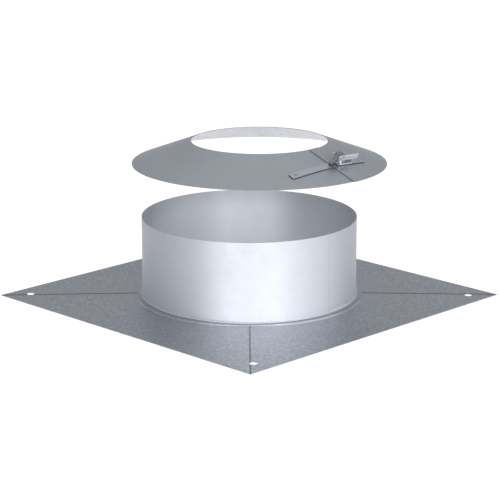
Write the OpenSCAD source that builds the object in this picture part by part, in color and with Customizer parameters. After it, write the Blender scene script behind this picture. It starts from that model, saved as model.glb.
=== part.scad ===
// Flat-roof flashing for a round flue: a cross-broken base plate with a rolled upstand, and above it a
// split storm collar that a toggle latch draws closed round the flue.
// Origin: centre of the base plate on the roof plane. Z is up and the plate's sides lie along X and Y.

/* [Base plate] */
// Side of the square base plate
plate_side = 500; // [440:10:700]
// Thickness of the base plate's sheet
plate_t = 0.8; // [0.5:0.1:1.5]
// Rise of the four folded facets, measured where they would meet over the centre
plate_rise = 4.9; // [2:0.1:8]
// Width of a pressed crease line
crease_w = 2.4; // [0.8:0.1:3]
// Depth of a pressed crease line
crease_d = 0.35; // [0.1:0.05:0.4]
// Radius of a fixing hole
hole_r = 5.5; // [2.5:0.25:7]
// Distance from a fixing hole's centre to the plate's edge along X
hole_edge_x = 26.5; // [16:1:45]
// Distance from a fixing hole's centre to the plate's edge along Y
hole_edge_y = 32.5; // [16:1:45]
// Height of the raised landing that carries the upstand
landing_z = 5.2; // [4.6:0.1:9]
// Width of the landing outside the upstand's wall
landing_w = 6.4; // [5:0.2:14]
// Radius of the landing's outer edge
landing_edge_r = 0.7; // [0.3:0.1:0.8]

/* [Upstand] */
// Outer radius of the upstand's wall
upstand_r = 151.8; // [130:0.2:170]
// Thickness of the upstand's sheet
upstand_t = 0.8; // [0.5:0.1:1.5]
// Height of the upstand's rim above the roof
upstand_top = 118; // [60:1:160]
// Width of the hemmed foot outside the wall
hem_w = 3; // [2.2:0.1:4.5]
// Radius of the bend between wall and foot, on the outside
foot_bend_r = 1.4; // [0.5:0.1:2]
// Direction of the welded lengthwise seam, in degrees from +X
upstand_seam = 1; // [-90:0.5:90]
// Width of the weld's groove
weld_w = 0.6; // [0.5:0.1:2]
// Depth of the weld's groove on each side of the sheet
weld_d = 0.1; // [0.05:0.05:0.2]

/* [Storm collar] */
// Radius of the collar's bore, which closes on the flue
bore_r = 95; // [80:0.5:110]
// Radius of the collar's rim
collar_r = 178; // [168:0.5:200]
// Height of the cone from rim to bore
collar_h = 31.4; // [22:0.2:50]
// Thickness of the collar's sheet
collar_t = 0.7; // [0.5:0.1:1.2]
// Height of the collar's rim above the roof, raised as shown
collar_z = 195; // [180:0.2:260]
// Tilt of the raised collar: its rim stands higher at the corner between +X and -Y
collar_tilt = 0.8; // [0:0.1:1.2]
// Offset of the flue's axis from the upstand's axis along X
flue_x = 9.5; // [0:0.5:12]
// Offset of the flue's axis from the upstand's axis along Y
flue_y = 9.5; // [0:0.5:12]
// Angle over which the two ends of the collar lap
lap_angle = 12; // [6:1:16]
// Free space between the two lapped layers
lap_gap = 0.05; // [0.03:0.01:0.3]

/* [Straps] */
// Radius at which the straps' middle crosses the collar's seam
strap_r = 137.4; // [125:0.2:150]
// Radius of the straps' own bow, by which they follow the collar a little
strap_bow = 1000; // [600:50:4000]
// Width of both straps
strap_w = 12; // [10:0.5:16]
// Thickness of both straps
strap_t = 1.2; // [0.8:0.1:1.6]
// Radius of the corners at a strap's far end
strap_corner = 2; // [0.5:0.25:4]
// Reach of the keeper strap from the seam
keeper_reach = 74; // [60:1:95]
// Reach of the latch strap from the seam
latch_reach = 66; // [56:1:90]
// Start of the latch strap, measured from the seam
latch_start = 8; // [6:0.5:9]
// Distance from a strap's far end to its rivet
strap_rivet_in = 9; // [7:0.5:12]
// Radius of a rivet's shank
rivet_r = 1.6; // [1:0.1:2]
// Radius of a rivet's head
rivet_head_r = 2.8; // [2.4:0.1:3.6]
// Height of a rivet's head
rivet_head_h = 0.9; // [0.6:0.1:1.6]

/* [Keeper lip] */
// Distance from the seam to the lip
keeper_end = 1; // [0.6:0.1:2]
// Thickness of the lip
lip_t = 1; // [0.8:0.1:1.4]
// Width of the lip
lip_w = 8; // [6:0.5:10]
// Height of the lip's top above the latch strap
lip_z = 3.4; // [2.6:0.1:3.5]

/* [Toggle latch] */
// Thickness of the bracket's sheet
bracket_t = 0.8; // [0.6:0.1:1]
// Start of the bracket, measured from the seam
bracket_start = 9.5; // [9:0.25:10.5]
// Length of the bracket
bracket_l = 26; // [24:0.5:30]
// Outer width of the bracket
bracket_w = 12; // [11.6:0.1:13]
// Height of the bracket's side rails
rail_h = 2.2; // [2:0.1:4]
// Distance from the seam to the lever's hinge
pin_y = 6; // [5:0.25:7]
// Height of the lever's hinge above the latch strap
pin_z = 12.2; // [11.6:0.1:13]
// Radius of the lever's hinge rivets
pin_r = 1.5; // [1:0.1:1.6]
// Radius of the ear round a hinge rivet
ear_r = 2.9; // [2.5:0.1:3.2]
// Thickness of the lever's sheet
lever_t = 0.8; // [0.6:0.1:1]
// Length of the lever's walls from the hinge to the free end
lever_l = 35.5; // [34:0.5:46]
// Half the height of the lever's walls
lever_half_h = 3.85; // [3.7:0.05:4.1]
// Angle by which the closed lever dips towards its free end
lever_dip = 0.8; // [0:0.2:4]
// Length of the open fork at the lever's hinge end
fork_l = 8.8; // [8.6:0.1:11]
// Length of the finger tab past the lever's walls
tab_l = 2; // [2:0.25:5]
// Sideways clearance between the lever and the bracket
lever_gap = 0.2; // [0.1:0.05:0.3]
// Distance from the hinge to the draw pin along the lever
throw_l = 5.3; // [5:0.1:5.6]
// Height of the draw pin above the lever's middle line
throw_up = 1.6; // [1.2:0.1:1.7]
// Radius of the draw pin
draw_pin_r = 1.25; // [1:0.05:1.3]
// Thickness of the draw hook's plate
hook_t = 1.1; // [0.9:0.05:1.2]
// Width of the draw hook
hook_w = 6; // [5:0.2:6.2]
// Radius of the hook's knuckle round the draw pin
knuckle_r = 2.35; // [2.1:0.05:2.4]
// Height of the hook's bend above the latch strap
hook_z = 4.2; // [4.2:0.1:4.8]
// Height of the hook's tip above the latch strap
hook_tip_z = 1.1; // [0.6:0.1:1.6]
// Play between the hook and the keeper's lip
hook_gap = 0.15; // [0.05:0.05:0.3]
// Clearance round a turning pin
run_gap = 0.05; // [0.02:0.01:0.1]
// Free space between pieces that are riveted together
seat_gap = 0.05; // [0.03:0.01:0.1]

/* [Hidden] */
$fn = 96;
far = 400;
deep = 60;
drill = 12;
tiny = 0.01;

// Collar geometry: a cone whose outer surface runs from the rim up to the bore
slope = atan(collar_h / (collar_r - bore_r));
lap_shift = (collar_t + lap_gap) / (sin(slope) * cos(lap_angle));
lap_lift = lap_shift * sin(slope);

// Levels above the sheet that each strap lies on
strap_top = seat_gap + strap_t;
keeper_rivet_y = -keeper_reach + strap_rivet_in;
latch_rivet_y = latch_reach - strap_rivet_in;
latch_mid = bracket_start + bracket_l / 2;
latch_u = -lap_shift * cos(slope);
latch_tilt = atan(fall_y(latch_u, latch_mid));

// The latch's cross-section
ear_in = bracket_w / 2 - bracket_t;
lever_in = bracket_w / 2 + lever_gap;
lever_w = 2 * (lever_in + lever_t);
lever_top_in = lever_half_h - lever_t;
rail_end = bracket_start + bracket_l;
small_rivet_r = 1.1;
small_head_r = 1.9;
small_head_h = 0.8;
bracket_rivet_ys = [latch_mid - 3, rail_end - 5.5];

// Draw pin and hook in the latch's own frame
draw_y = pin_y + throw_l * cos(lever_dip) + throw_up * sin(lever_dip);
draw_z = pin_z - throw_l * sin(lever_dip) + throw_up * cos(lever_dip);
hook_y = -keeper_end - lip_t - hook_gap - hook_t / 2;

// Height of the cone's outer surface at radius r, raised by a level along its normal
function cone_z(r, level) = (collar_r - r) * tan(slope) + level / cos(slope);

// The cone seen from the seam's tangent plane: x runs down the slope and y along the straps.
// fall() is its exact depth below that plane, and the other two are the slopes of that depth.
function reach(x) = strap_r + x * cos(slope);
function root(x, y) = sqrt(pow(reach(x), 2) + y * y * cos(2 * slope));
function fall(x, y) = sin(slope) * (root(x, y) - reach(x)) / cos(2 * slope);
function fall_x(x, y) = sin(slope) * cos(slope) * (reach(x) / root(x, y) - 1) / cos(2 * slope);
function fall_y(x, y) = sin(slope) * y / root(x, y);

// Frames
module on_collar() {
    translate([flue_x, flue_y, collar_z])
    rotate(a = -collar_tilt, v = [1, 1, 0])
    children();
}

// X runs down the slope, Y along the straps and Z out of the cone
module on_seam() {
    translate([strap_r, 0, cone_z(strap_r, 0)])
    rotate([0, slope, 0])
    children();
}

// A place on a strap's middle line, with Z along the sheet's normal there
module on_strap(shift, y, level) {
    x = -y * y / (2 * strap_bow);
    u = x - shift * cos(slope);
    size = sqrt(1 + pow(fall_x(u, y), 2) + pow(fall_y(u, y), 2));
    on_seam()
    translate([x, y, shift * sin(slope) - fall(u, y)])
    rotate([-asin(fall_y(u, y) / size), atan(fall_x(u, y)), 0])
    translate([0, 0, level])
    children();
}

// The latch's frame lies on the latch strap and keeps its Y distances from the seam
module on_latch() {
    on_seam()
    translate([0, latch_mid, lap_lift - fall(latch_u, latch_mid)])
    rotate([-latch_tilt, 0, 0])
    translate([0, -latch_mid, strap_top])
    children();
}

// The lever's frame starts at its hinge, with Y along the lever
module on_lever() {
    on_latch()
    translate([0, pin_y, pin_z])
    rotate([-lever_dip, 0, 0])
    children();
}

// A round bar along X, from the latch's middle plane outwards
module cross_pin(r, x_from, x_to) {
    translate([x_from, 0, 0]) rotate([0, 90, 0]) cylinder(h = x_to - x_from, r = r, $fn = 64);
}

// A profile in the latch's Y-Z plane, given a width along X
module across(width) {
    rotate([90, 0, 90])
    translate([0, 0, -width / 2])
    linear_extrude(width)
    children();
}

// A band of sheet between two levels above a cone whose axis is moved along X
module cone_band(shift, low, high, r_in, r_out) {
    translate([shift, 0, 0])
    rotate_extrude($fn = 360)
    polygon([
        [r_in, cone_z(r_in, low)],
        [r_out, cone_z(r_out, low)],
        [r_out, cone_z(r_out, high)],
        [r_in, cone_z(r_in, high)]
    ]);
}

// Everything under a cone at the given level, used to seat pieces on it
module under_cone(shift, level) {
    r_far = collar_r + deep;
    translate([shift, 0, 0])
    rotate_extrude($fn = 360)
    polygon([[0, -deep], [r_far, -deep], [r_far, cone_z(r_far, level)], [0, cone_z(0, level)]]);
}

// One pair of facets as a long prism, like a plain roof
module tent(top) {
    half = plate_side / 2;
    rotate([90, 0, 0])
    linear_extrude(plate_side + 2, center = true)
    polygon([[-half, -1], [half, -1], [half, top - plate_rise], [0, top], [-half, top - plate_rise]]);
}

// The space under four facets that fold up to one peak
module facets(top) {
    intersection() {
        tent(top);
        rotate([0, 0, 90]) tent(top);
        translate([-plate_side / 2, -plate_side / 2, -1]) cube([plate_side, plate_side, top + 2]);
    }
}

// Raised ring that the upstand's foot stands on
module landing() {
    r_out = upstand_r + landing_w;
    r_in = upstand_r - upstand_t;
    skirt_z = plate_rise * (1 - r_out / (plate_side / 2));
    rotate_extrude($fn = 360)
    union() {
        difference() {
            translate([r_in, skirt_z]) square([landing_w + upstand_t, landing_z - skirt_z]);
            translate([r_in - 1, skirt_z - 1])
            square([landing_w + upstand_t + 1 - plate_t, landing_z - skirt_z + 1 - plate_t]);
            translate([r_out - landing_edge_r, landing_z - landing_edge_r])
            square(landing_edge_r + 1);
        }
        translate([r_out - landing_edge_r, landing_z - landing_edge_r])
        circle(landing_edge_r, $fn = 32);
    }
}

// A shallow groove from near the landing out to one corner
module crease(angle) {
    start_gap = 0.5;
    r_start = upstand_r + landing_w + start_gap;
    corner = plate_side / sqrt(2);
    tilt = atan(plate_rise / corner);
    rotate([0, 0, angle])
    translate([corner, 0, plate_t])
    rotate([0, tilt, 0])
    rotate([0, -90, 0])
    linear_extrude(corner - r_start)
    polygon([[-crease_d, 0], [tiny, -crease_w / 2], [1, -crease_w], [1, crease_w], [tiny, crease_w / 2]]);
}

module base_plate() {
    hole_x = plate_side / 2 - hole_edge_x;
    hole_y = plate_side / 2 - hole_edge_y;
    r_out = upstand_r + landing_w;
    color("slategray")
    union() {
        difference() {
            facets(plate_rise + plate_t);
            facets(plate_rise);
            translate([0, 0, -1]) cylinder(h = 20, r = r_out - plate_t / 2, $fn = 360);
            translate([-far, -far, -2]) cube([2 * far, 2 * far, 2]);
            for (x = [-hole_x, hole_x], y = [-hole_y, hole_y])
                translate([x, y, -1]) cylinder(h = 10, r = hole_r);
            for (a = [45:90:315]) crease(a);
        }
        landing();
    }
}

// Rolled wall with a hemmed foot that stands on the landing
module upstand() {
    wall_in = upstand_r - upstand_t;
    hem_h = 2 * upstand_t;
    hem_z = landing_z + hem_h;
    color("lightsteelblue")
    difference() {
        rotate_extrude($fn = 360)
        difference() {
            union() {
                translate([wall_in, landing_z]) square([upstand_t, upstand_top - landing_z]);
                translate([wall_in, landing_z]) square([hem_w + upstand_t - hem_h / 2, hem_h]);
                translate([upstand_r + hem_w - hem_h / 2, landing_z + hem_h / 2])
                circle(hem_h / 2, $fn = 32);
                translate([upstand_r, hem_z]) square(foot_bend_r);
            }
            translate([upstand_r + foot_bend_r, hem_z + foot_bend_r]) circle(foot_bend_r, $fn = 48);
            translate([upstand_r + foot_bend_r, hem_z]) square([hem_w, foot_bend_r + 1]);
        }
        rotate([0, 0, upstand_seam]) {
            translate([upstand_r - weld_d, -weld_w / 2, hem_z + foot_bend_r])
            cube([2, weld_w, upstand_top]);
            translate([wall_in - 2 + weld_d, -weld_w / 2, hem_z + foot_bend_r])
            cube([2, weld_w, upstand_top]);
        }
    }
}

// Section of the collar's sheet, with its bore edge and rim cut upright
module sheet_section() {
    polygon([
        [bore_r, cone_z(bore_r, -collar_t)],
        [collar_r, cone_z(collar_r, -collar_t)],
        [collar_r, cone_z(collar_r, 0)],
        [bore_r, cone_z(bore_r, 0)]
    ]);
}

// One sheet rolled on two centres. The covering quarter turns about a centre moved along X, and a
// flat strip, tangent to both cones, links it to the rest: so it climbs over the tucked end smoothly.
module collar_cone() {
    color("slategray")
    on_collar()
    difference() {
        union() {
            rotate([0, 0, 90]) rotate_extrude(angle = 270 + lap_angle, $fn = 360) sheet_section();
            rotate([90, 0, 90]) linear_extrude(lap_shift) sheet_section();
            translate([lap_shift, 0, 0]) rotate_extrude(angle = 90, $fn = 360) sheet_section();
        }
        rivet_hole(0, keeper_rivet_y);
        rivet_hole(lap_shift, latch_rivet_y);
    }
}

// A strap seen square to the seam, bowed a little, with round corners at its far end
module strap_outline(start, end) {
    side = end > start ? 1 : -1;
    trim = end - side * strap_corner;
    depth = 40;
    on_seam()
    translate([-strap_bow, 0, -depth / 2])
    linear_extrude(depth)
    union() {
        intersection() {
            difference() {
                circle(strap_bow + strap_w / 2, $fn = 720);
                circle(strap_bow - strap_w / 2, $fn = 720);
            }
            translate([strap_bow - strap_w, min(start, trim)]) square([2 * strap_w, abs(trim - start)]);
        }
        rotate(atan(end / strap_bow))
        translate([strap_bow, -side * strap_corner]) {
            square([strap_w - 2 * strap_corner, 2 * strap_corner], center = true);
            square([strap_w, tiny + strap_corner / 4], center = true);
            for (x = [-1, 1]) translate([x * (strap_w / 2 - strap_corner), 0]) circle(strap_corner, $fn = 48);
        }
    }
}

// A low domed head that stands on the XY plane
module rivet_head(r, h) {
    dome_r = (r * r + h * h) / (2 * h);
    rotate_extrude($fn = 48)
    intersection() {
        translate([0, h - dome_r]) circle(dome_r);
        square([r, h]);
    }
}

// A headed pin through a strap and the sheet below it
module through_rivet(shift, y) {
    shank = strap_top + collar_t + 2 * seat_gap;
    tail_share = 0.85;
    on_strap(shift, y, strap_top + seat_gap)
    union() {
        rivet_head(rivet_head_r, rivet_head_h);
        translate([0, 0, -shank - tiny]) cylinder(h = shank + 2 * tiny, r = rivet_r);
        translate([0, 0, -shank]) mirror([0, 0, 1]) rivet_head(tail_share * rivet_head_r, rivet_head_h);
    }
}

module rivet_hole(shift, y) {
    on_strap(shift, y, 0) cylinder(h = drill, r = rivet_r + seat_gap, center = true);
}

// Strap with an upright lip that the draw hook pulls on
module keeper_strap() {
    lip_corner = 1;
    foot = 6;
    color("lightgray")
    on_collar()
    difference() {
        union() {
            intersection() {
                cone_band(0, seat_gap, strap_top, bore_r, collar_r);
                strap_outline(-keeper_end, -keeper_reach);
            }
            difference() {
                on_latch()
                translate([0, -keeper_end, 0])
                rotate([90, 0, 0])
                linear_extrude(lip_t)
                union() {
                    translate([-lip_w / 2, -foot]) square([lip_w, lip_z + foot - lip_corner]);
                    translate([-lip_w / 2 + lip_corner, 0]) square([lip_w - 2 * lip_corner, lip_z]);
                    for (x = [-1, 1])
                        translate([x * (lip_w / 2 - lip_corner), lip_z - lip_corner]) circle(lip_corner, $fn = 32);
                }
                under_cone(0, seat_gap + strap_t / 2);
            }
        }
        rivet_hole(0, keeper_rivet_y);
    }
}

module keeper_rivet() {
    color("gainsboro")
    on_collar()
    through_rivet(0, keeper_rivet_y);
}

module latch_strap() {
    color("lightgray")
    on_collar()
    difference() {
        intersection() {
            cone_band(lap_shift, seat_gap, strap_top, bore_r, collar_r + 5);
            strap_outline(latch_start, latch_reach);
        }
        rivet_hole(lap_shift, latch_rivet_y);
        for (y = bracket_rivet_ys) bracket_rivet_hole(y);
    }
}

module latch_strap_rivet() {
    color("gainsboro")
    on_collar()
    through_rivet(lap_shift, latch_rivet_y);
}

module bracket_rivet_hole(y) {
    on_latch() translate([0, y, 0]) cylinder(h = drill, r = small_rivet_r + seat_gap, center = true);
}

// Two rivets that hold the bracket to its strap
module bracket_rivets() {
    shank = 5;
    color("gainsboro")
    on_collar()
    difference() {
        on_latch()
        for (y = bracket_rivet_ys)
            translate([0, y, bracket_t + 2 * seat_gap]) {
                rivet_head(small_head_r, small_head_h);
                translate([0, 0, -shank]) cylinder(h = shank + tiny, r = small_rivet_r);
            }
        under_cone(lap_shift, 2 * seat_gap);
    }
}

// Cross-section of a folded channel, open at one side, with rounded outer corners
module channel(width, height, t, corner_r) {
    difference() {
        union() {
            translate([-width / 2, corner_r]) square([width, height - corner_r]);
            translate([-width / 2 + corner_r, 0]) square([width - 2 * corner_r, corner_r + tiny]);
            for (x = [-1, 1]) translate([x * (width / 2 - corner_r), corner_r]) circle(corner_r, $fn = 32);
        }
        translate([-width / 2 + t, t]) square([width - 2 * t, height]);
    }
}

// Side outline of the bracket: low rails, and at one end ears that lean out to the lever's hinge
module bracket_side() {
    corner = 1;
    ear_foot = 4;
    union() {
        translate([bracket_start, -1]) square([bracket_l, rail_h + 1 - corner]);
        translate([bracket_start, -1]) square([bracket_l - corner, rail_h + 1]);
        translate([rail_end - corner, rail_h - corner]) circle(corner, $fn = 32);
        polygon([
            [bracket_start, 0], [bracket_start + ear_foot, 0],
            [bracket_start + ear_foot, rail_h], [pin_y + ear_r, pin_z],
            [pin_y - ear_r, pin_z], [bracket_start, rail_h]
        ]);
        translate([pin_y, pin_z]) circle(ear_r, $fn = 64);
    }
}

module latch_bracket() {
    blank = 0.5;
    floor_z = bracket_t + seat_gap;
    stop_gap = 0.6;
    stop_play = 0.1;
    stop_w = 2 * (ear_in - stop_gap);
    stop_y = rail_end - bracket_t;
    open_y = pin_y - 2 * ear_r;
    stop_top = pin_z + lever_top_in * cos(lever_dip) - (rail_end - pin_y) * tan(lever_dip) - stop_play;
    color("silver")
    on_collar()
    difference() {
        on_latch()
        difference() {
            union() {
                intersection() {
                    translate([0, rail_end + 1, seat_gap - blank])
                    rotate([90, 0, 0])
                    linear_extrude(bracket_l + 8)
                    channel(bracket_w, pin_z + 2 * ear_r, bracket_t + blank, 1);
                    across(bracket_w + 2) bracket_side();
                }
                // Upturned end that the closed lever rests on
                translate([-stop_w / 2, stop_y, seat_gap]) cube([stop_w, bracket_t, stop_top - seat_gap]);
            }
            translate([0, pin_y, pin_z]) cross_pin(pin_r + seat_gap, -bracket_w, bracket_w);
            // Between the walls, everything above the floor is open up to the stop
            translate([-ear_in, open_y, floor_z]) cube([2 * ear_in, stop_y - open_y, pin_z + 10]);
        }
        under_cone(lap_shift, strap_top + seat_gap);
        for (y = bracket_rivet_ys) bracket_rivet_hole(y);
    }
}

// Two stub rivets: the lever turns on them, and the draw hook passes between their inner heads
module hinge_rivets() {
    inner_r = 2.2;
    inner_h = 0.7;
    outer_r = 2.5;
    outer_h = 0.8;
    inner_x = ear_in - seat_gap;
    outer_x = lever_w / 2 + seat_gap;
    color("gainsboro")
    on_collar()
    on_latch()
    translate([0, pin_y, pin_z])
    for (side = [0, 1])
        mirror([side, 0, 0])
        union() {
            cross_pin(inner_r, inner_x - inner_h, inner_x);
            cross_pin(pin_r, inner_x - tiny, outer_x + tiny);
            translate([outer_x, 0, 0]) rotate([0, 90, 0]) rivet_head(outer_r, outer_h);
        }
}

// Side outline of the lever about its hinge: a round end and a long wall that tapers slightly
module lever_side() {
    taper = 0.5;
    corner = 2;
    union() {
        circle(lever_half_h, $fn = 96);
        polygon([
            [0, -lever_half_h], [lever_l / 3, -lever_half_h], [lever_l - corner, -lever_half_h + taper],
            [lever_l, -lever_half_h + taper + corner], [lever_l, lever_half_h], [0, lever_half_h]
        ]);
        translate([lever_l - corner, -lever_half_h + taper + corner]) circle(corner, $fn = 48);
    }
}

// Folded channel, open below, whose hinge end is a fork so that the draw hook can swing up through it
module lever() {
    tab_shoulder = 1.5;
    tab_w = lever_w - 2 * tab_shoulder;
    tab_corner = 1;
    tab_tilt = 12;
    color("gainsboro")
    on_collar()
    on_lever()
    difference() {
        union() {
            intersection() {
                translate([0, -2 * lever_half_h, lever_half_h])
                rotate([-90, 0, 0])
                linear_extrude(lever_l + 3 * lever_half_h)
                channel(lever_w, 2 * lever_half_h, lever_t, 1.2);
                across(lever_w + 2) lever_side();
            }
            translate([0, lever_l - 1, lever_top_in])
            rotate([tab_tilt, 0, 0])
            linear_extrude(lever_t)
            union() {
                translate([-tab_w / 2, 0]) square([tab_w, tab_l]);
                translate([-tab_w / 2 + tab_corner, tab_l - tiny]) square([tab_w - 2 * tab_corner, tab_corner]);
                for (x = [-1, 1]) translate([x * (tab_w / 2 - tab_corner), tab_l]) circle(tab_corner, $fn = 32);
            }
        }
        translate([-lever_in, -2 * lever_half_h, -2 * lever_half_h])
        cube([2 * lever_in, 2 * lever_half_h + fork_l, 4 * lever_half_h]);
        cross_pin(pin_r + run_gap, -lever_w, lever_w);
        translate([0, throw_l, throw_up]) cross_pin(draw_pin_r + run_gap, -lever_w, lever_w);
    }
}

module draw_pin() {
    head_r = 1.7;
    head_h = 0.5;
    reach_x = lever_w / 2 + run_gap;
    color("gainsboro")
    on_collar()
    on_lever()
    translate([0, throw_l, throw_up])
    union() {
        cross_pin(draw_pin_r, -reach_x - tiny, reach_x + tiny);
        cross_pin(head_r, reach_x, reach_x + head_h);
        cross_pin(head_r, -reach_x - head_h, -reach_x);
    }
}

// Flat link round the draw pin, whose turned-down tip catches behind the keeper's lip
module draw_hook() {
    run_y = draw_y - hook_y;
    run_z = draw_z - hook_z;
    color("gainsboro")
    on_collar()
    on_latch()
    across(hook_w)
    difference() {
        union() {
            translate([hook_y, hook_z]) {
                rotate(atan2(run_z, run_y)) translate([0, -hook_t / 2]) square([norm([run_y, run_z]), hook_t]);
                circle(hook_t / 2, $fn = 32);
            }
            translate([hook_y - hook_t / 2, hook_tip_z]) square([hook_t, hook_z - hook_tip_z]);
            translate([hook_y, hook_tip_z]) circle(hook_t / 2, $fn = 32);
            translate([draw_y, draw_z]) circle(knuckle_r, $fn = 64);
        }
        translate([draw_y, draw_z]) circle(draw_pin_r + run_gap, $fn = 64);
    }
}

base_plate();
upstand();
collar_cone();
keeper_strap();
keeper_rivet();
latch_strap();
latch_strap_rivet();
latch_bracket();
bracket_rivets();
hinge_rivets();
lever();
draw_pin();
draw_hook();
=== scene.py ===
import bpy
import math
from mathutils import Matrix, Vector


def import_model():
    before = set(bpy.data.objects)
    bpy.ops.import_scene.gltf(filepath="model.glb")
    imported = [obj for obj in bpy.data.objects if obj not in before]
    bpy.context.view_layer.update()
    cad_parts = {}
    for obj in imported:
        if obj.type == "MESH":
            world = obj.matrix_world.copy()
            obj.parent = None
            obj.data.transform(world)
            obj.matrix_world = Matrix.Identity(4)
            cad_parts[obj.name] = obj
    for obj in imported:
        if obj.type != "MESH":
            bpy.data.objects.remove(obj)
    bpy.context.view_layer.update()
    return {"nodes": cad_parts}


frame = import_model()
NODES = frame["nodes"]
scene = bpy.context.scene
scene.view_settings.view_transform = "Standard"

# Sizes and places on the part, in metres

# Radius halfway through the upstand's sheet
WALL_RADIUS = 0.1514
# Heights at which the upstand's straight wall starts and ends
WALL_LOW = 0.0082
WALL_TOP = 0.118
# Direction of the upstand's weld, in degrees from +X
WELD_ANGLE = 1.0
# Outer radius of the landing, and the height at which the painted highlight on its skirt ends
LANDING_EDGE = 0.1582
SKIRT_SPLIT = 0.0031
# Distance of the plate's creases from the Z axis at their inner ends
CREASE_START = 0.1587
# Direction in which the collar's sheet faces at its seam, and the line that the lever turns about
SEAM_UP = (0.345, 0.003, 0.9387)
HINGE_LINE = (0.9388, -0.0034, -0.3446)
# The place that the key lamps and the fill lamp face
MIDDLE = (0, 0, 0.08)

# Helpers for materials

# Grain in noise cells per metre along X, Y and Z, with few along the brushing
SHEET_GRAIN = (9, 900, 900)
STRAP_GRAIN = (700, 12, 700)
LATCH_GRAIN = (700, 20, 700)
RIVET_GRAIN = (500, 500, 500)
# Grain of a rolled sheet in noise cells per radian round the Z axis, and per metre of radius and height
ROLLED_GRAIN = (4, 200, 500)
# Numbers of a Mix node's two inputs and its output, by kind of value
MIX_SOCKETS = {"RGBA": (6, 7, 2), "VECTOR": (4, 5, 1)}


class Material:
    """A node material with short ways to add and join nodes."""

    def __init__(self, name):
        self.data = bpy.data.materials.new(name)
        self.data.use_nodes = True
        self.tree = self.data.node_tree
        self.shader = self.tree.nodes["Principled BSDF"]
        coordinates = self.tree.nodes.new("ShaderNodeTexCoord")
        self.place = coordinates.outputs["Object"]
        self.normal = coordinates.outputs["Normal"]

    def set(self, socket, value):
        """Link a socket to another one, or give it a constant."""
        if isinstance(value, bpy.types.NodeSocket):
            self.tree.links.new(value, socket)
        else:
            socket.default_value = value

    def node(self, kind, **sockets):
        """Add a node, and fill the inputs that are named."""
        n = self.tree.nodes.new(kind)
        for name, value in sockets.items():
            self.set(n.inputs[name], value)
        return n

    def noise(self, space, scale, detail=3.0, rough=0.5):
        n = self.node("ShaderNodeTexNoise", Vector=space, Scale=scale, Detail=detail, Roughness=rough)
        return n.outputs["Fac"]

    def ramp(self, value, start, end, first=0.0, last=1.0):
        """Straight from first at start to last at end, and level past both."""
        n = self.node("ShaderNodeMapRange", Value=value)
        for name, limit in zip(("From Min", "From Max", "To Min", "To Max"), (start, end, first, last)):
            n.inputs[name].default_value = limit
        return n.outputs["Result"]

    def by_mask(self, mask, off, on):
        """One number where a mask is 0, and another where it is 1."""
        return self.ramp(mask, 0.0, 1.0, off, on)

    def math(self, operation, a, b=0.0):
        n = self.tree.nodes.new("ShaderNodeMath")
        n.operation = operation
        self.set(n.inputs[0], a)
        self.set(n.inputs[1], b)
        return n.outputs[0]

    def product(self, *values):
        result = values[0]
        for value in values[1:]:
            result = self.math("MULTIPLY", result, value)
        return result

    def vector_math(self, operation, *vectors):
        n = self.tree.nodes.new("ShaderNodeVectorMath")
        n.operation = operation
        for socket, vector in zip(n.inputs, vectors):
            self.set(socket, vector)
        return n.outputs

    def mix(self, share, a, b, kind="RGBA"):
        """From a to b as the share goes from 0 to 1."""
        first, second, result = MIX_SOCKETS[kind]
        n = self.tree.nodes.new("ShaderNodeMix")
        n.data_type = kind
        self.set(n.inputs[0], share)
        self.set(n.inputs[first], a)
        self.set(n.inputs[second], b)
        return n.outputs[result]

    def split(self, vector):
        """The X, Y and Z of a vector."""
        return tuple(self.node("ShaderNodeSeparateXYZ", Vector=vector).outputs)

    def join(self, x, y, z=0.0):
        return self.node("ShaderNodeCombineXYZ", X=x, Y=y, Z=z).outputs["Vector"]

    def angle(self):
        """Direction round the Z axis, in radians from +X."""
        x, y = self.split(self.place)[:2]
        return self.math("ARCTAN2", y, x)

    def radius(self):
        """Distance from the Z axis."""
        x, y = self.split(self.place)[:2]
        return self.math("SQRT", self.math("ADD", self.product(x, x), self.product(y, y)))

    def height(self):
        return self.split(self.place)[2]


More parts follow.
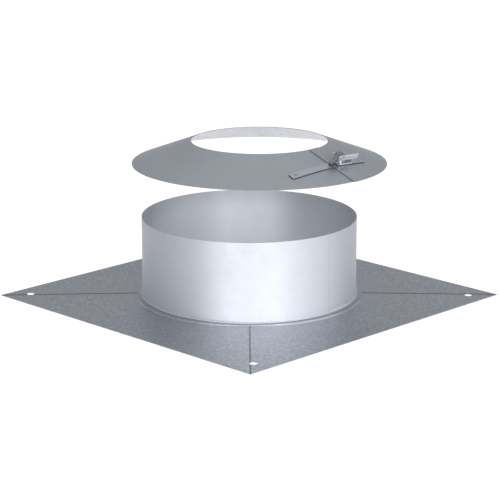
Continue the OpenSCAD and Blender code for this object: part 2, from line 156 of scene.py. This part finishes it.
class Steel(Material):
    """Stainless sheet: a fine directional grain, slow changes of tone and roughness, and a faint bump. It
    has painted shade where another face is close."""

    def __init__(self, name, colour, rough, grain, metal=0.8, near=0.006, near_shade_tone=0.4, mottle=0.06,
                 rolled=False):
        super().__init__(name)
        self.colour = colour
        self.rough = rough
        self.shader.inputs["Metallic"].default_value = metal
        space = self.join(self.angle(), self.radius(), self.height()) if rolled else self.place
        brushed = self.node("ShaderNodeMapping", Vector=space, Scale=grain)
        self.fine = self.noise(brushed.outputs["Vector"], scale=1.0, detail=4.0, rough=0.6)
        slow = self.noise(self.place, scale=9.0)
        tone = self.math("ADD", self.product(self.fine, 0.5), self.product(slow, 0.5))
        light = self.ramp(tone, start=0.3, end=0.7)
        self.base = self.mix(light, self.tint(1 - mottle), self.tint(1 + mottle))
        # Painted shade, darker where another face is close
        self.shade = self.ramp(self.unoccluded(near), start=0.35, end=0.95, first=near_shade_tone)

    def tint(self, factor):
        return [min(1, channel * factor) for channel in self.colour] + [1]

    def unoccluded(self, distance):
        """How open a place is, by ambient occlusion: it falls towards 0 where another face is close. It sets
        the painted shade.
        """
        n = self.node("ShaderNodeAmbientOcclusion", Distance=distance)
        n.samples = 8
        return n.outputs["AO"]

    def darken(self, factor):
        self.shade = self.product(self.shade, factor)

    def paint_shade_across(self, axis, tone):
        """Paint shade on the faces that don't look along an axis, such as the cut edges of a flat sheet."""
        along = self.math("ABSOLUTE", self.vector_math("DOT_PRODUCT", self.normal, axis)["Value"])
        across = self.ramp(along, start=0.3, end=0.75, first=1, last=0)
        self.darken(self.by_mask(across, 1, tone))

    def speckle(self, scale, strength):
        """Mix a darker tone into the base, by a finer noise."""
        tone = 0.6
        noise = self.noise(self.place, scale, detail=2.0, rough=0.7)
        specks = self.ramp(noise, start=0.38, end=0.62)
        self.base = self.mix(self.product(specks, strength), self.base, self.tint(tone))

    def stretch_highlight(self, amount):
        """Stretch the highlights upright, a quarter of a turn from the direction round the Z axis."""
        quarter_turn = 0.25
        tangent = self.tree.nodes.new("ShaderNodeTangent")
        tangent.direction_type = "RADIAL"
        tangent.axis = "Z"
        self.set(self.shader.inputs["Tangent"], tangent.outputs["Tangent"])
        self.shader.inputs["Anisotropic"].default_value = amount
        self.shader.inputs["Anisotropic Rotation"].default_value = quarter_turn

    def uneven(self, noise):
        """A noise as small changes of roughness up and down."""
        spread = 0.05
        return self.ramp(noise, start=0.25, end=0.75, first=-spread, last=spread)

    def finish(self, relief=0.12, rough=None, normal=None):
        """Join the tone, the roughness and the bump to the shader, and return the finished material."""
        shadow = (0.02, 0.02, 0.022, 1)
        bump_depth = 0.0002
        cloud = self.noise(self.place, scale=60.0, detail=4.0, rough=0.65)
        changes = self.math("ADD", self.uneven(cloud), self.uneven(self.fine))
        bump = self.node("ShaderNodeBump", Strength=relief, Distance=bump_depth, Height=self.fine)
        if normal:
            self.set(bump.inputs["Normal"], normal)
        self.set(self.shader.inputs["Base Color"], self.mix(self.shade, shadow, self.base))
        self.set(self.shader.inputs["Roughness"], self.math("ADD", changes, rough or self.rough))
        self.set(self.shader.inputs["Normal"], bump.outputs["Normal"])
        return self.data


def landing_masks(m):
    """Two masks on the landing round the upstand, for painted light. One is its skirt's lower part with a
    narrow band of the plate beside it, with a painted highlight. The other is all above that, with painted
    shade from the upstand's foot."""
    soft = 0.0003
    skirt_start = LANDING_EDGE - 0.0009
    band_end = LANDING_EDGE + 0.0025
    low_end = SKIRT_SPLIT - 0.0002
    near = m.ramp(m.radius(), band_end - soft, band_end + soft, 1, 0)
    skirt = m.ramp(m.radius(), skirt_start, skirt_start + soft)
    low = m.ramp(m.height(), low_end, low_end + soft, 1, 0)
    high = m.ramp(m.height(), SKIRT_SPLIT, SKIRT_SPLIT + soft)
    return m.product(near, skirt, low), m.product(near, high)


def crease_shade_mask(m):
    """1 along the plate's two diagonals outside the landing, falling to 0 over a soft edge: where shade is
    painted in the creases. The line is twice as broad on the diagonal where X and Y have the same sign."""
    core, fade = 0.0005, 0.0016
    end = 0.002
    diagonal = math.sqrt(2)
    along_x, along_y = m.split(m.place)[:2]
    x = m.math("ABSOLUTE", along_x)
    y = m.math("ABSOLUTE", along_y)
    same_sign = m.math("GREATER_THAN", m.product(along_x, along_y), 0.0)
    off_line = m.product(m.math("ABSOLUTE", m.math("SUBTRACT", x, y)), m.by_mask(same_sign, 1, 0.5))
    line = m.ramp(off_line, core * diagonal, fade * diagonal, 1, 0)
    outside = m.ramp(m.math("ADD", x, y), CREASE_START * diagonal, (CREASE_START + end) * diagonal)
    return m.product(line, outside)


def weld_mask(m):
    """1 on a straight line up the wall, falling to 0 within a small angle."""
    core, fade = 0.002, 0.004
    turn = m.math("SUBTRACT", m.angle(), math.radians(WELD_ANGLE))
    return m.ramp(m.math("ABSOLUTE", turn), core, fade, 1, 0)


def inner_mask(m):
    """1 on the upstand's inner face, and 0 on its outer one."""
    soft = 0.0001
    return m.ramp(m.radius(), WALL_RADIUS - soft, WALL_RADIUS + soft, 1, 0)


def round_normal(m, inner):
    """A normal that points straight out of the rolled wall, so that the weld's shallow groove stays a faint
    line. The foot and the rim keep their own."""
    foot_end = WALL_LOW + 0.0005
    rim_start, rim_end = WALL_TOP - 0.0004, WALL_TOP - 0.0001
    x, y, z = m.split(m.place)
    side = m.by_mask(inner, 1, -1)
    outward = m.vector_math("NORMALIZE", m.join(m.product(x, side), m.product(y, side)))["Vector"]
    on_wall = m.product(m.ramp(z, WALL_LOW, foot_end), m.ramp(z, rim_start, rim_end, 1, 0))
    own = m.tree.nodes.new("ShaderNodeNewGeometry").outputs["Normal"]
    return m.mix(on_wall, own, outward, kind="VECTOR")


# Materials

def plate_sheet():
    """Flat sheet with painted shade along its press lines, and a ring of painted highlight below a ring of
    painted shade at the upstand's foot.
    """
    painted_highlight_colour = (0.68, 0.70, 0.73, 1)
    painted_shade_colour = (0.42, 0.433, 0.46, 1)
    crease_shade_tone = 0.36
    m = Steel("plate_sheet", (0.492, 0.508, 0.543), 0.44, SHEET_GRAIN, metal=1.0, near=0.0015, near_shade_tone=0.8)
    m.speckle(scale=330, strength=0.8)
    highlight_ring, shaded = landing_masks(m)
    # Painted highlight on the skirt's ring, then painted shade on the landing above it
    m.base = m.mix(highlight_ring, m.base, painted_highlight_colour)
    m.base = m.mix(shaded, m.base, painted_shade_colour)
    # Painted shade in the creases
    m.darken(m.by_mask(crease_shade_mask(m), 1, crease_shade_tone))
    return m.finish()


def upstand_sheet():
    """Rolled wall, smoother inside, with painted shade inside and at its foot, painted light that leaves it
    darker towards its rim, and a little darker at its weld.
    """
    outer_shade_tone, inner_shade_tone = 0.92, 0.85
    inner_rough = 0.60
    foot_shade_tone, foot_low, foot_high = 0.92, 0.006, 0.016
    rim_shade_tone, rim_low = 0.90, 0.02
    weld_tone = 0.88
    m = Steel("upstand_sheet", (0.715, 0.735, 0.781), 0.66, ROLLED_GRAIN, metal=1.0, near=0.002,
              near_shade_tone=0.95, mottle=0.02, rolled=True)
    inner = inner_mask(m)
    # Painted shade: the inner face is darker than the outer one
    m.darken(m.by_mask(inner, outer_shade_tone, inner_shade_tone))
    # Painted shade near the foot, where the wall mirrors the darker plate
    m.darken(m.ramp(m.height(), foot_low, foot_high, foot_shade_tone, 1))
    # Painted light: darker towards the rim and so lighter low down, to even out how the wall is lit
    m.darken(m.ramp(m.height(), rim_low, WALL_TOP, 1, rim_shade_tone))
    m.darken(m.by_mask(weld_mask(m), 1, weld_tone))
    m.stretch_highlight(0.5)
    return m.finish(rough=m.by_mask(inner, m.rough, inner_rough), normal=round_normal(m, inner))


def collar_sheet():
    """Conical sheet with painted shade on its top and its cut edges, so its smoother underside is brighter.
    """
    top_shade_tone, edge_shade_tone = 0.75, 0.5
    underside_rough = 0.26
    m = Steel("collar_sheet", (0.56, 0.58, 0.62), 0.42, SHEET_GRAIN, metal=0.85, near=0.003)
    # Painted shade on the cut edges
    m.paint_shade_across((0, 0, 1), edge_shade_tone)
    underside = m.ramp(m.split(m.normal)[2], start=-0.6, end=-0.3, first=1, last=0)
    # Painted shade on the top, against the underside
    m.darken(m.by_mask(underside, top_shade_tone, 1))
    return m.finish(relief=0.03, rough=m.by_mask(underside, m.rough, underside_rough))


def strap_steel():
    """Flat strip with painted shade on its cut edges, and on the lip where it turns up at the keeper's end.
    """
    edge_shade_tone = 0.15
    m = Steel("strap_steel", (0.47, 0.486, 0.52), 0.40, STRAP_GRAIN, near_shade_tone=0.7)
    # Painted shade on the edges and the lip, for the shadow under them
    m.paint_shade_across(SEAM_UP, edge_shade_tone)
    return m.finish()


def channel_steel(name, colour, rough, rest_shade_tone):
    """Folded channel whose walls look along the hinge line; the rest has painted shade, so the walls read
    brighter.
    """
    m = Steel(name, colour, rough, LATCH_GRAIN, near_shade_tone=0.85)
    # Painted shade on all faces but the walls
    m.paint_shade_across(HINGE_LINE, rest_shade_tone)
    return m.finish()


def rivet_steel():
    # Its dark tone is painted shade round the heads
    return Steel("rivet_steel", (0.34, 0.352, 0.377), 0.48, RIVET_GRAIN).finish()


def hook_steel():
    # Its dark tone is painted shade, where the latch's left end lies in shadow
    m = Steel("hook_steel", (0.28, 0.288, 0.312), 0.50, LATCH_GRAIN, metal=0.85, near_shade_tone=0.7)
    return m.finish()


def dress(material, *names):
    """Give pieces a material in place of their CAD colour."""
    for name in names:
        slots = NODES[name].data.materials
        slots.clear()
        slots.append(material)


# Floor, light and camera

def floor_material():
    """Pale matt floor that also glows, for the camera and in the steel's reflections, so that it looks white
    and yet takes shadows. The glow is dimmed inside the upstand as painted shade."""
    pale, paler = (0.86, 0.86, 0.86, 1), (0.89, 0.89, 0.89, 1)
    glow_strength = 1.12
    camera_share, reflected_share, inside_shade_share = 0.95, 0.8, 0.35
    inside_low, inside_high = 0.145, 0.160
    m = Material("studio_floor")
    m.set(m.shader.inputs["Base Color"], m.mix(m.noise(m.place, scale=2.0, detail=2.0), pale, paler))
    m.shader.inputs["Roughness"].default_value = 0.9
    m.shader.inputs["Specular IOR Level"].default_value = 0.1
    glow = m.node("ShaderNodeEmission", Color=(1, 1, 1, 1), Strength=glow_strength)
    rays = m.tree.nodes.new("ShaderNodeLightPath").outputs
    reflected = m.math("MAXIMUM", rays["Is Glossy Ray"], rays["Is Transmission Ray"])
    seen = m.math("MAXIMUM", m.product(rays["Is Camera Ray"], camera_share),
                  m.product(reflected, reflected_share))
    # Painted shade: the glow is dimmer inside the upstand
    inside = m.ramp(m.radius(), inside_low, inside_high, 1, 0)
    both = m.tree.nodes.new("ShaderNodeMixShader")
    m.set(both.inputs[0], m.product(seen, m.by_mask(inside, 1, inside_shade_share)))
    m.set(both.inputs[1], m.shader.outputs[0])
    m.set(both.inputs[2], glow.outputs[0])
    m.set(m.tree.nodes["Material Output"].inputs["Surface"], both.outputs[0])
    return m.data


def floor():
    radius = 7.0
    drop = 0.0005
    bpy.ops.mesh.primitive_circle_add(vertices=96, radius=radius, fill_type="NGON", location=(0, 0, -drop))
    o = bpy.context.object
    o.name = "floor"
    o.data.materials.append(floor_material())


def world():
    w = bpy.data.worlds.new("studio")
    w.use_nodes = True
    background = w.node_tree.nodes["Background"]
    background.inputs["Color"].default_value = (0.92, 0.95, 1.0, 1)
    background.inputs["Strength"].default_value = 0.52
    scene.world = w


def place_in_scene(name, data, place, target):
    """Add a lamp or a camera at a place, turned towards a target."""
    o = bpy.data.objects.new(name, data)
    scene.collection.objects.link(o)
    o.location = place
    o.rotation_mode = "QUATERNION"
    o.rotation_quaternion = (Vector(target) - o.location).to_track_quat("-Z", "Y")
    return o


def camera(place, target):
    data = bpy.data.cameras.new("camera")
    data.lens = 154.0
    data.sensor_width = 36.0
    scene.camera = place_in_scene("camera", data, place, target)


def lamp(name, place, target, size, power):
    data = bpy.data.lights.new(name, "AREA")
    data.shape = "RECTANGLE"
    data.size, data.size_y = size
    data.energy = power
    place_in_scene(name, data, place, target)


def key_lamps():
    """Three panels side by side round the front. The gap between the left and the right one lies opposite
    the back view, where a panel's mirror image would burn the plate white."""
    distance, height, panel_h = 3.28, 1.02, 1.2
    panels = (("key_left", -65, 1.05, 56), ("key_right", -23, 1.2, 64), ("key_far", 14, 1.5, 22))
    for name, azimuth, panel_w, power in panels:
        turn = math.radians(azimuth)
        place = (distance * math.cos(turn), distance * math.sin(turn), height)
        lamp(name, place, MIDDLE, (panel_w, panel_h), power)


# The scene

dress(plate_sheet(), "base_plate")
dress(upstand_sheet(), "upstand")
dress(collar_sheet(), "collar_cone")
dress(strap_steel(), "keeper_strap", "latch_strap")
# Painted highlight: the bracket's steel is paler than the lever's, so its rail reads bright
dress(channel_steel("latch_steel", (0.72, 0.74, 0.78), 0.42, rest_shade_tone=0.72), "latch_bracket")
dress(channel_steel("lever_steel", (0.52, 0.538, 0.57), 0.44, rest_shade_tone=0.78), "lever")
dress(rivet_steel(), "keeper_rivet", "latch_strap_rivet", "bracket_rivets", "draw_pin", "hinge_rivets")
dress(hook_steel(), "draw_hook")
floor()
world()
camera(place=(2.0600, -2.0757, 0.8681), target=(0.00076, 0.00076, 0.06684))
key_lamps()
lamp("fill", place=(2.35, 2.10, 0.90), target=MIDDLE, size=(1.4, 0.9), power=10)
lamp("back", place=(-1.10, 1.10, 2.40), target=(0, 0, 0.2), size=(1.8, 1.4), power=1.9)
